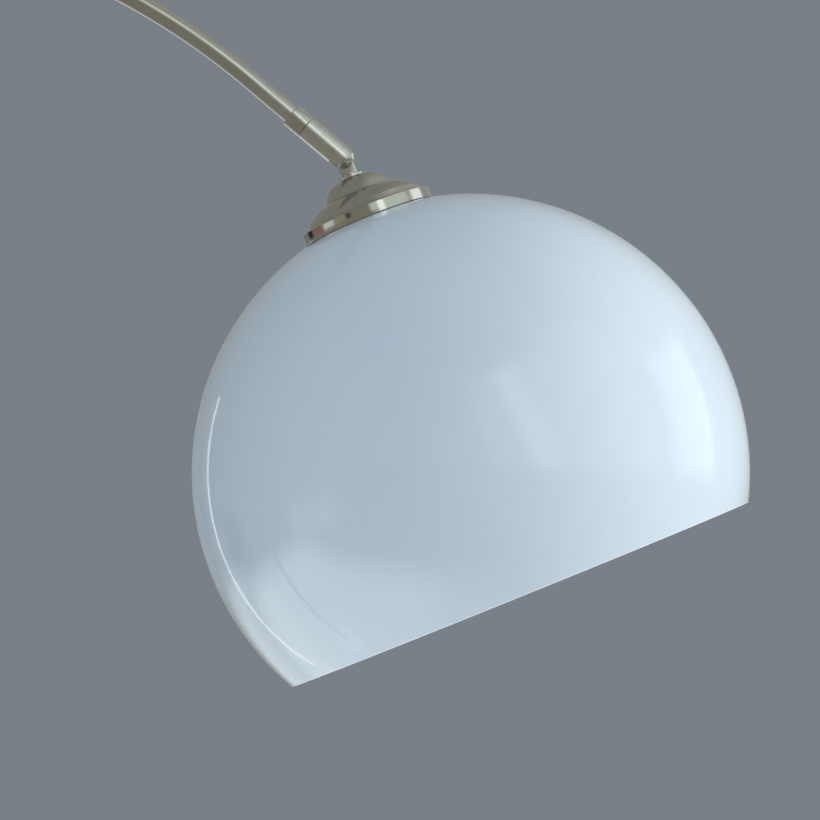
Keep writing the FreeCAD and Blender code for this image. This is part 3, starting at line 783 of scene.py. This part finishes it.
def makeBase():
    s = slabSize
    r, low, high, e = s["radius"], s["low"], s["high"], s["edge"]
    slab = turnPiece("baseSlab", floorFrame, [
        (s["stud"], high), (r - e, high), ("arc", (r - 0.293 * e, high - 0.293 * e), (r, high - e)),
        (r, low + e), ("arc", (r - 0.293 * e, low + 0.293 * e), (r - e, low)),
        (s["recess"][0], low), s["recess"], (s["stud"], s["recess"][1])], turns=180, curve=6)
    finishPiece(slab, "stand", "marble", looks["marble"], "base_slab")
    p = padSize
    pad = turnPiece("feltPad", floorFrame, [
        (0, 0), (p["radius"] - p["fray"], 0), ("arc", (p["radius"], p["thick"] / 2),
                                               (p["radius"] - p["fray"], p["thick"])),
        (0, p["thick"])], turns=144, curve=6)
    finishPiece(pad, "stand", "felt", looks["felt"], "base_pad")


uprightSize = {"radius": 11.0, "wall": 1.2, "foot": 58.0, "join": (660.0, 668.0), "top": 1262.0, "fit": 0.03}


def makeUpright():
    s = uprightSize
    r, bore = s["radius"], s["radius"] - s["wall"]
    for name, node, low, high in (
            ("uprightLowerTube", "upright_lower_tube", s["foot"], s["join"][0]),
            ("uprightUpperTube", "upright_upper_tube", s["join"][1], s["top"])):
        pipe = turnPiece(name, floorFrame, [(bore, low), (r, low), (r, high), (bore, high)], bevel=0.3)
        finishPiece(pipe, "stand", "satin_nickel_tube", looks["tubeNickel"], node)
    low, high = s["join"]
    plug, ring, edge = bore - s["fit"], r + 0.8, 0.8
    middle = (low + high) / 2
    coupler = turnPiece("uprightCoupler", floorFrame, [
        (5, low - 34), (plug, low - 34), (plug, low), (ring - edge, low),
        ("arc", (ring - 0.29 * edge, low + 0.29 * edge), (ring, low + edge)), (ring, middle - edge),
        ("arc", (ring - edge, middle), (ring, middle + edge)), (ring, high - edge),
        ("arc", (ring - 0.29 * edge, high - 0.29 * edge), (ring - edge, high)),
        (plug, high), (plug, high + 34), (5, high + 34)], curve=6)
    finishPiece(coupler, "stand", "satin_nickel", looks["standNickel"], "upright_coupler")


flangeSize = {"low": 58.0, "radius": 46.0, "bore": 11.03}


def makeFlange():
    # two shallow tiers and a neck, in the manner of the shade's cap
    s = flangeSize
    low, r = s["low"], s["radius"]
    flange = turnPiece("footFlange", floorFrame, [
        (s["bore"], low), (r, low), (r, low + 4.5), ("arc", (r - 0.8, low + 6.4), (r - 2.8, low + 7)),
        (r - 6, low + 7), ("arc", (32, low + 11), (22, low + 12.6)), (20, low + 12.6),
        ("arc", (18.2, low + 17.4), (14, low + 20)), (s["bore"], low + 20)],
        turns=144, bevel=0.2, curve=12)
    finishPiece(flange, "stand", "satin_nickel", looks["standNickel"], "foot_flange")


socketSize = {"radius": 15.0, "low": 1240.0, "step": 1262.0, "top": 1290.0, "grip": 11.03, "bore": 9.9,
              "screw": 2.55, "screwHeight": 1276.0}
bushSize = {"bore": 8.05, "wall": 9.87, "flange": 11.5, "low": 1263.0, "thick": 1.5}
stopSize = {"bore": 8.03, "radius": 12.5, "gap": 0.1, "height": 8.0}


def makeSocket():
    s = socketSize
    r, low, top = s["radius"], s["low"], s["top"]
    socket = turnPiece("topSocket", floorFrame, [
        (s["grip"], low), (r - 1.5, low), (r, low + 1.5), (r, low + 14), (r - 1, low + 15), (r, low + 16),
        (r, top - 3), ("arc", (r - 0.9, top - 0.9), (r - 3, top)), (s["bore"], top),
        (s["bore"], s["step"]), (s["grip"], s["step"])], turns=128, bevel=0.18)
    cutAway(socket, bar(floorFrame @ Matrix.Translation((0, 0, s["screwHeight"] * mm)), s["screw"],
                        -30, 0, "X"))
    smoothPiece(socket)
    finishPiece(socket, "stand", "satin_nickel", looks["standNickel"], "top_socket")
    b = bushSize
    bush = turnPiece("swivelBush", floorFrame, [
        (b["bore"], b["low"]), (b["wall"], b["low"]), (b["wall"], top), (b["flange"], top),
        (b["flange"], top + b["thick"]), (b["bore"], top + b["thick"])], bevel=0.2)
    finishPiece(bush, "stand", "nylon", looks["nylon"], "swivel_bush")
    c = stopSize
    low = top + b["thick"] + c["gap"]
    high = low + c["height"]
    stop = turnPiece("armStopCollar", floorFrame, [
        (c["bore"], low), (c["radius"] - 1, low), (c["radius"], low + 1), (c["radius"], high - 2.5),
        ("arc", (c["radius"] - 0.7, high - 0.8), (c["radius"] - 2.5, high)), (c["bore"], high)],
        turns=128, bevel=0.15)
    finishPiece(stop, "arm", "satin_nickel", looks["standNickel"], "arm_stop_collar")


knobSize = {"radius": 11.0, "low": 17.0, "high": 30.0, "boss": (5.5, 15.5), "bore": (2.53, 24.0),
            "lobes": 8, "scallop": 3.0, "scallopAt": 12.6, "dish": 7.0}


def makeKnob():
    # a fluted thumb screw with a dished face; its axis points away from the arm
    s = knobSize
    place = axisFrame(Vector((0, 0, socketSize["screwHeight"] * mm)), Vector((-1, 0, 0)))
    r, low, high = s["radius"], s["low"], s["high"]
    knob = turnPiece("clampKnob", place, [
        (s["bore"][0], s["boss"][1]), (s["boss"][0], s["boss"][1]), (s["boss"][0], low), (r - 1.5, low),
        ("arc", (r - 0.44, low + 0.44), (r, low + 1.5)), (r, high - 1.5),
        ("arc", (r - 0.44, high - 0.44), (r - 1.5, high)), (s["dish"], high),
        ("arc", (s["dish"] / 2, high - 0.6), (0, high - 0.8)), (0, s["bore"][1]), s["bore"]],
        turns=96, closed=True, curve=8)
    flutes = []
    for k in range(s["lobes"]):
        turn = Matrix.Rotation(2 * math.pi * (k + 0.5) / s["lobes"], 4, "Z")
        flutes.append(bar(place @ turn, s["scallop"], low - 1, high + 1, sides=40,
                          middle=(s["scallopAt"], 0)))
    cutAway(knob, joined(flutes))
    roundEdges(knob, 0.35, segments=3, angle=40)
    smoothPiece(knob)
    finishPiece(knob, "clamp_screw", "satin_nickel", looks["standNickel"], "clamp_knob")


makeBase()
makeUpright()
makeFlange()
makeSocket()
makeKnob()
print("stand made")


# The lampholder and bulb, seen from under the shade
holderSize = {"outer": 19.6, "inner": 17.6, "bore": 5.03, "ribs": 24, "rib": 0.7, "ribAt": 19.9}
threadSize = {"top": 151.5, "pitch": 3.63, "turns": 5, "crest": 13.1, "root": 12.3, "steps": 10}
globeSize = {"radius": 30.0, "wall": 1.2, "centre": 79.0, "mouth": 96.9}


def makeHolder():
    s = holderSize
    outer, inner = s["outer"], s["inner"]
    cap = turnPiece("holderCap", headFrame, [
        (s["bore"], 190.0), (8.0, 190.0), (9.0, 189.0), (9.0, 185.5), ("arc", (16.5, 182.6), (outer, 176.0)),
        (outer, 166.2), (inner, 166.2), (inner, 176.0), ("arc", (14.5, 180.6), (9.0, 182.6)),
        (s["bore"], 182.6)], bevel=0.25, curve=12)
    finishPiece(cap, "head", "white_moulding", looks["white"], "holder_cap")
    body = turnPiece("holderBody", headFrame, [
        (15.2, 166.0), (17.4, 166.0), (17.4, 172.0), (17.5, 172.0), (17.5, 166.1), (outer, 166.1),
        (outer, 132.0), ("arc", (19.0, 130.4), (17.6, 130.0)), (15.2, 130.0)], turns=144)
    grooves = []
    for k in range(s["ribs"]):
        turn = Matrix.Rotation(2 * math.pi * k / s["ribs"], 4, "Z")
        grooves.append(bar(headFrame @ turn, s["rib"], 138, 160, sides=16, middle=(s["ribAt"], 0)))
    cutAway(body, joined(grooves))
    roundEdges(body, 0.15, segments=2, angle=40)
    smoothPiece(body)
    finishPiece(body, "head", "white_moulding", looks["white"], "holder_body")


def makeBulb():
    t = threadSize
    thread = []
    for k in range(t["turns"] * t["steps"] + 1):
        wave = 0.5 - 0.5 * math.cos(2 * math.pi * k / t["steps"])
        thread.append((t["root"] + (t["crest"] - t["root"]) * wave, t["top"] - t["pitch"] * k / t["steps"]))
    cap = turnPiece("bulbCap", headFrame, [
        (0, 156.6), (3.2, 156.4), ("arc", (4.2, 156.0), (4.6, 155.2)), (8.5, 154.4), (11.2, 153.0),
        *thread, (12.9, 130.5), (0, 130.5)], turns=80, curve=4)
    finishPiece(cap, "head", "bulb_metal", looks["bulbMetal"], "bulb_cap")
    housing = turnPiece("bulbHousing", headFrame, [
        (0, 130.4), (13.3, 130.4), (13.9, 128.0), ("arc", (16.2, 114.0), (22.8, 100.2)), (24.3, 97.0),
        (0, 97.0)], bevel=0.3, curve=14)
    finishPiece(housing, "head", "bulb_moulding", looks["bulbBody"], "bulb_housing")
    g = globeSize
    outer, inner, centre = g["radius"], g["radius"] - g["wall"], g["centre"]
    rise = g["mouth"] - centre
    lip = [(math.sqrt(r**2 - rise**2), g["mouth"]) for r in (outer, inner)]
    globe = turnPiece("bulbGlobe", headFrame, [
        lip[1], lip[0], ("arc", (outer, centre), (0, centre - outer)), (0, centre - inner),
        ("arc", (inner, centre), lip[1])], turns=120, curve=40)
    finishPiece(globe, "head", "bulb_opal", looks["bulbOpal"], "bulb_globe")


makeHolder()
makeBulb()
print("lampholder and bulb made")


viewSize = {"distance": 2.65, "elevation": -2.96, "left": 43.5, "up": 44.9, "scale": 0.719, "picture": 820}


def makeCamera():
    s = viewSize
    data = bpy.data.cameras.new("camera")
    camera = bpy.data.objects.new("camera", data)
    bpy.context.scene.collection.objects.link(camera)
    bpy.context.scene.camera = camera
    target = domeCentre + Vector((-s["left"], 0, s["up"])) * mm
    tilt = math.radians(s["elevation"])
    back = Vector((0, -math.cos(tilt), math.sin(tilt)))
    camera.location = target + back * s["distance"]
    camera.rotation_mode = "QUATERNION"
    camera.rotation_quaternion = (-back).to_track_quat("-Z", "Y")
    data.sensor_width = 36
    data.lens = s["distance"] / (s["scale"] * mm) / s["picture"] * data.sensor_width
    data.clip_start = 0.1
    data.clip_end = 120
    return camera


floorLook = {"colour": (0.74, 0.74, 0.73, 1), "radius": 14.0, "fadeFrom": 2.2, "fadeTo": 7.5}


def makeFloor():
    # a pale floor that melts into the backdrop a few metres out, so that no horizon shows, and that can't
    # be seen from below
    pickNothing()
    bpy.ops.mesh.primitive_circle_add(vertices=96, radius=floorLook["radius"], fill_type="NGON", location=(0.5, 0, -0.0005))
    floor = bpy.context.object
    floor.name = "floor"
    settle(floor)
    material, tree, shader = newMaterial("paleFloor", Roughness=0.65)
    shader.inputs["Base Color"].default_value = floorLook["colour"]
    coords = tree.nodes.new("ShaderNodeTexCoord")
    length = addNode(tree, "VectorMath", operation="LENGTH")
    tree.links.new(coords.outputs["Object"], length.inputs[0])
    shape = tree.nodes.new("ShaderNodeNewGeometry")
    fade = calc(tree, "MAXIMUM", span(tree, length.outputs["Value"], floorLook["fadeFrom"], floorLook["fadeTo"]),
                shape.outputs["Backfacing"])
    clear = tree.nodes.new("ShaderNodeBsdfTransparent")
    mix = tree.nodes.new("ShaderNodeMixShader")
    tree.links.new(fade, mix.inputs[0])
    tree.links.new(shader.outputs[0], mix.inputs[1])
    tree.links.new(clear.outputs[0], mix.inputs[2])
    tree.links.new(mix.outputs[0], tree.nodes["Material Output"].inputs[0])
    floor.data.materials.append(material)
    floor.visible_glossy = False  # gloss sees the room's own floor instead


lightLook = {  # places and aims are from the dome's centre
    "windowRight": {"from": (4.6, 0.0, 0.25), "size": (3.6, 2.8), "power": 178, "colour": (1.0, 0.99, 0.97),
                    "skips": "floor"},
    "softTop": {"from": (-0.6, 0.0, 3.0), "size": (4.0, 4.0), "power": 85, "colour": (0.95, 0.98, 1.0),
                "aim": (-0.6, 0.0, 0.0), "skips": "shadeDome"},
    "fillFront": {"from": (0.8, -2.6, 0.9), "size": (2.6, 2.0), "power": 15, "colour": (0.92, 0.96, 1.0)},
    "bounceLow": {"from": (-1.0, -1.3, -1.25), "size": (1.3, 1.3), "power": 4, "colour": (0.95, 0.98, 1.0),
                  "only": "shadeDome"},
    "glowFloor": {"from": (-1.4, 0.0, -1.33), "size": (4.2, 3.2), "power": 72, "colour": (0.95, 0.98, 1.0),
                  "aim": (-1.4, 0.0, 0), "turn": -15, "mirrored": True, "border": 0.26,
                  "only": "shadeDome"},
    "stripLeft": {"from": (-1.12, 0.96, -0.5), "size": (0.03, 1.75), "power": 0.42, "colour": (1.0, 1.0, 1.0),
                  "aim": (0, 0, -0.5), "mirrored": True, "only": "shadeDome"},
}


def fadeBorder(data, border):
    # dims a lamp towards its edges, so that its reflection has a soft outline
    data.use_nodes = True
    tree = data.node_tree
    spot = addNode(tree, "NewGeometry")
    split = addNode(tree, "SeparateXYZ")
    tree.links.new(spot.outputs["Parametric"], split.inputs[0])
    fades = []
    for along in split.outputs[:2]:
        inwards = calc(tree, "MINIMUM", along, calc(tree, "SUBTRACT", 1.0, along))
        fades.append(span(tree, inwards, 0.0, border))
    tree.links.new(calc(tree, "MULTIPLY", *fades), tree.nodes["Emission"].inputs["Strength"])


def linkLamp(lamp, piece, state):
    # limits a lamp to one piece, or keeps it off one piece
    reach = bpy.data.collections.new(lamp.name + "Reach")
    reach.objects.link(bpy.data.objects[piece])
    reach.collection_objects[0].light_linking.link_state = state
    lamp.light_linking.receiver_collection = reach


def makeLights():
    # a mirrored lamp is only seen in gloss, the others only light what they reach
    for name, look in lightLook.items():
        data = bpy.data.lights.new(name, "AREA")
        data.shape = "RECTANGLE"
        data.size, data.size_y = look["size"]
        data.energy = look["power"]
        data.color = look["colour"]
        lamp = bpy.data.objects.new(name, data)
        bpy.context.scene.collection.objects.link(lamp)
        lamp.location = domeCentre + Vector(look["from"])
        way = Vector(look.get("aim", (0, 0, 0))) - Vector(look["from"])
        turn = Matrix.Rotation(math.radians(look.get("turn", 0)), 3, "Z").to_quaternion()
        lamp.rotation_mode = "QUATERNION"
        lamp.rotation_quaternion = turn @ way.to_track_quat("-Z", "Y")
        mirrored = look.get("mirrored", False)
        lamp.visible_camera = False
        lamp.visible_glossy = mirrored
        lamp.visible_diffuse = not mirrored
        if "only" in look:
            linkLamp(lamp, look["only"], "INCLUDE")
        if "skips" in look:
            linkLamp(lamp, look["skips"], "EXCLUDE")
        if "border" in look:
            fadeBorder(data, look["border"])


# What polished metal sees of the studio: panels round the head, leaning with it, each with the degrees
# from the camera to the right at which it starts, how high it reaches and its colour
roomPanels = [
    (-180, 0.17, (0.30, 0.33, 0.35)), (-155, 0.17, (0.24, 0.25, 0.27)), (-128, 0.16, (0.03, 0.025, 0.02)),
    (-113, 0.15, (0.32, 0.18, 0.19)), (-82, 0.16, (0.75, 0.86, 0.93)), (-59, 0.16, (0.37, 0.36, 0.25)),
    (-35, 0.16, (0.09, 0.07, 0.06)), (-26, 0.45, (0.28, 0.28, 0.25)), (9, 0.50, (0.72, 0.80, 0.77)),
    (23, 0.50, (1.45, 1.58, 1.62)), (34, 0.50, (0.75, 0.84, 0.82)), (80, 0.48, (0.52, 0.58, 0.55)),
    (91, 0.15, (1.30, 1.40, 1.46)), (118, 0.17, (0.41, 0.42, 0.41)), (165, 0.17, (0.30, 0.33, 0.35))]
roomLook = {"ceiling": (0.29, 0.29, 0.265, 1), "ceilingRight": (0.46, 0.47, 0.44, 1),
            "floor": (0.28, 0.275, 0.23, 1), "floorBack": (0.85, 0.92, 0.95, 1), "blend": 1.5, "topBlend": 0.06, "strength": 1.0}
softLook = {"low": (0.30, 0.33, 0.36, 1), "high": (0.80, 0.90, 1.0, 1), "strength": 0.62}
backdrop = (0.19, 0.215, 0.24, 1)


def background(tree, colour, strength=1.0):
    node = tree.nodes.new("ShaderNodeBackground")
    node.inputs["Strength"].default_value = strength
    if hasattr(colour, "is_linked"):
        tree.links.new(colour, node.inputs["Color"])
    else:
        node.inputs["Color"].default_value = colour
    return node.outputs[0]


def roomColours(tree, x, y, z):
    side = calc(tree, "ADD", calc(tree, "MULTIPLY", x, domeWay.z), calc(tree, "MULTIPLY", z, -domeWay.x))
    height = calc(tree, "ADD", calc(tree, "MULTIPLY", x, domeWay.x), calc(tree, "MULTIPLY", z, domeWay.z))
    turn = calc(tree, "ARCTAN2", side, calc(tree, "MULTIPLY", y, -1.0))
    ramp = tree.nodes.new("ShaderNodeValToRGB")
    ramp.color_ramp.interpolation = "LINEAR"
    tree.links.new(span(tree, turn, -math.pi, math.pi), ramp.inputs[0])
    stops = ramp.color_ramp.elements
    blend = roomLook["blend"]  # degrees either side over which one panel melts into the next
    previous = (*roomPanels[-1][2], roomPanels[-1][1])
    spots = []
    for degrees, top, colour in roomPanels:
        spots.append((degrees - blend, previous))
        spots.append((degrees + blend, (*colour, top)))
        previous = (*colour, top)
    for k, (degrees, colour) in enumerate(spots):
        place = min(1, max(0, (degrees + 180) / 360))
        stop = stops[k] if k < 2 else stops.new(place)
        stop.position = place
        stop.color = colour  # its alpha is the panel's height
    walls = ramp.outputs["Color"]
    over = calc(tree, "SUBTRACT", height, ramp.outputs["Alpha"])
    overhead = mixColours(tree, span(tree, side, 0.3, 0.7), roomLook["ceiling"], roomLook["ceilingRight"])
    upper = mixColours(tree, span(tree, over, 0, roomLook["topBlend"]), walls, overhead)
    behind = calc(tree, "MULTIPLY", span(tree, y, 0.42, 0.72), span(tree, z, -0.16, -0.30))
    floor = mixColours(tree, behind, roomLook["floor"], roomLook["floorBack"])
    below = calc(tree, "MULTIPLY", span(tree, height, 0.04, -0.04), span(tree, z, 0.06, -0.06))
    return mixColours(tree, below, upper, floor)


def makeWorld():
    world = bpy.data.worlds.new("studio")
    bpy.context.scene.world = world
    world.use_nodes = True
    tree = world.node_tree
    tree.nodes.clear()
    out = tree.nodes.new("ShaderNodeOutputWorld")
    coords = tree.nodes.new("ShaderNodeTexCoord")
    split = tree.nodes.new("ShaderNodeSeparateXYZ")
    tree.links.new(coords.outputs["Generated"], split.inputs[0])
    soft = mixColours(tree, span(tree, split.outputs[2], -0.4, 0.8), softLook["low"], softLook["high"])
    path = tree.nodes.new("ShaderNodeLightPath")
    layers = background(tree, soft, softLook["strength"])
    for seenBy, colour, strength in (
            ("Is Glossy Ray", roomColours(tree, *split.outputs), roomLook["strength"]),
            ("Is Camera Ray", backdrop, 1.0)):
        mix = tree.nodes.new("ShaderNodeMixShader")
        tree.links.new(path.outputs[seenBy], mix.inputs[0])
        tree.links.new(layers, mix.inputs[1])
        tree.links.new(background(tree, colour, strength), mix.inputs[2])
        layers = mix.outputs[0]
    tree.links.new(layers, out.inputs["Surface"])


makeCamera()
makeFloor()
makeLights()
makeWorld()
bpy.context.scene.view_settings.view_transform = "Standard"
print("camera, floor and light set")
